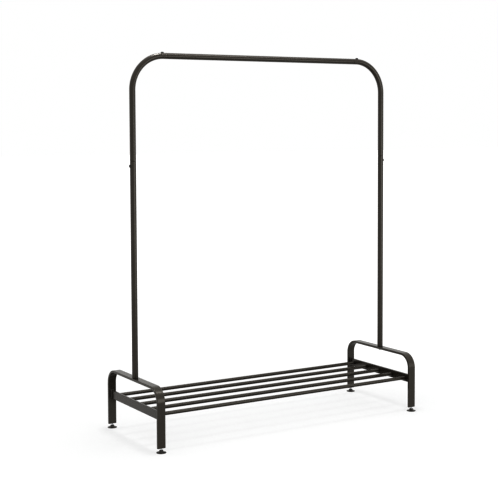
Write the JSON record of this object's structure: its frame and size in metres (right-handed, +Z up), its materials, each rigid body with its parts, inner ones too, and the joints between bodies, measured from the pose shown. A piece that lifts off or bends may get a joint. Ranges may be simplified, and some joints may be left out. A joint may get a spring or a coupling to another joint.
{
  "type": "garment rail",
  "caption": "Free-standing garment rail: round-tube hanging frame with rounded corners on two bent-tube end frames, joined by a low shelf of round tubes, on screw-adjustable feet.",
  "frame": {"origin": "on the floor, midway between the four feet", "axes": "+Z up, X along the hanging bar, -Y towards the front"},
  "size_m": [1.31, 0.506, 1.604],
  "materials": {
    "frame_paint": "satin black powder coat",
    "fastener": "black oxide, semi-gloss",
    "bare_steel": "plain mill finish",
    "stud_steel": "bright zinc plate",
    "black_plastic": "moulded, fine texture"
  },
  "bodies": {
    "rack": {"top_bar": "frame_paint", "left_corner_bend": "frame_paint", "left_upright": "frame_paint", "left_end_frame": "frame_paint", "left_cross_tube": "frame_paint", "left_frame_welds": "frame_paint", "left_shelf_pegs": "bare_steel", "left_upright_base_plug": "frame_paint", "left_base_washer": "fastener", "left_base_bolt": "fastener", "left_top_joint_sleeve": "bare_steel", "left_top_joint_nut": "bare_steel", "left_top_joint_saddle": "black_plastic", "left_top_joint_bolt": "fastener", "left_side_joint_sleeve": "bare_steel", "left_side_joint_nut": "bare_steel", "left_side_joint_saddle": "black_plastic", "left_side_joint_bolt": "fastener", "right_corner_bend": "frame_paint", "right_upright": "frame_paint", "right_end_frame": "frame_paint", "right_cross_tube": "frame_paint", "right_frame_welds": "frame_paint", "right_shelf_pegs": "bare_steel", "right_upright_base_plug": "frame_paint", "right_base_washer": "fastener", "right_base_bolt": "fastener", "right_top_joint_sleeve": "bare_steel", "right_top_joint_nut": "bare_steel", "right_top_joint_saddle": "black_plastic", "right_top_joint_bolt": "fastener", "right_side_joint_sleeve": "bare_steel", "right_side_joint_nut": "bare_steel", "right_side_joint_saddle": "black_plastic", "right_side_joint_bolt": "fastener", "shelf_tube_1": "frame_paint", "shelf_tube_2": "frame_paint", "shelf_tube_3": "frame_paint", "shelf_tube_4": "frame_paint", "shelf_tube_5": "frame_paint", "front_left_leg_plug": "black_plastic", "front_right_leg_plug": "black_plastic", "back_left_leg_plug": "black_plastic", "back_right_leg_plug": "black_plastic"},
    "front_left_pad": {"front_left_foot_pad": "black_plastic"},
    "front_left_stud": {"front_left_foot_stud": "stud_steel"},
    "front_right_pad": {"front_right_foot_pad": "black_plastic"},
    "front_right_stud": {"front_right_foot_stud": "stud_steel"},
    "back_left_pad": {"back_left_foot_pad": "black_plastic"},
    "back_left_stud": {"back_left_foot_stud": "stud_steel"},
    "back_right_pad": {"back_right_foot_pad": "black_plastic"},
    "back_right_stud": {"back_right_foot_stud": "stud_steel"}
  },
  "joints": [
    {"name": "front_left_foot_height", "type": "slide", "parent": "rack", "child": "front_left_pad", "axis": [0, 0, -1], "range_m": [-0.005, 0.012]},
    {"name": "front_left_foot_turn", "type": "hinge", "parent": "front_left_pad", "child": "front_left_stud", "pos_m": [-0.635, -0.233, 0.02], "axis": [0, 0, -1], "range_deg": [-1800, 4320]},
    {"name": "front_right_foot_height", "type": "slide", "parent": "rack", "child": "front_right_pad", "axis": [0, 0, -1], "range_m": [-0.005, 0.012]},
    {"name": "front_right_foot_turn", "type": "hinge", "parent": "front_right_pad", "child": "front_right_stud", "pos_m": [0.635, -0.233, 0.02], "axis": [0, 0, -1], "range_deg": [-1800, 4320]},
    {"name": "back_left_foot_height", "type": "slide", "parent": "rack", "child": "back_left_pad", "axis": [0, 0, -1], "range_m": [-0.005, 0.012]},
    {"name": "back_left_foot_turn", "type": "hinge", "parent": "back_left_pad", "child": "back_left_stud", "pos_m": [-0.635, 0.233, 0.02], "axis": [0, 0, -1], "range_deg": [-1800, 4320]},
    {"name": "back_right_foot_height", "type": "slide", "parent": "rack", "child": "back_right_pad", "axis": [0, 0, -1], "range_m": [-0.005, 0.012]},
    {"name": "back_right_foot_turn", "type": "hinge", "parent": "back_right_pad", "child": "back_right_stud", "pos_m": [0.635, 0.233, 0.02], "axis": [0, 0, -1], "range_deg": [-1800, 4320]}
  ],
  "couplings": [
    {"joint": "front_left_foot_turn", "follows": "front_left_foot_height", "rad_per_m": 6283.2},
    {"joint": "front_right_foot_turn", "follows": "front_right_foot_height", "rad_per_m": 6283.2},
    {"joint": "back_left_foot_turn", "follows": "back_left_foot_height", "rad_per_m": 6283.2},
    {"joint": "back_right_foot_turn", "follows": "back_right_foot_height", "rad_per_m": 6283.2}
  ]
}
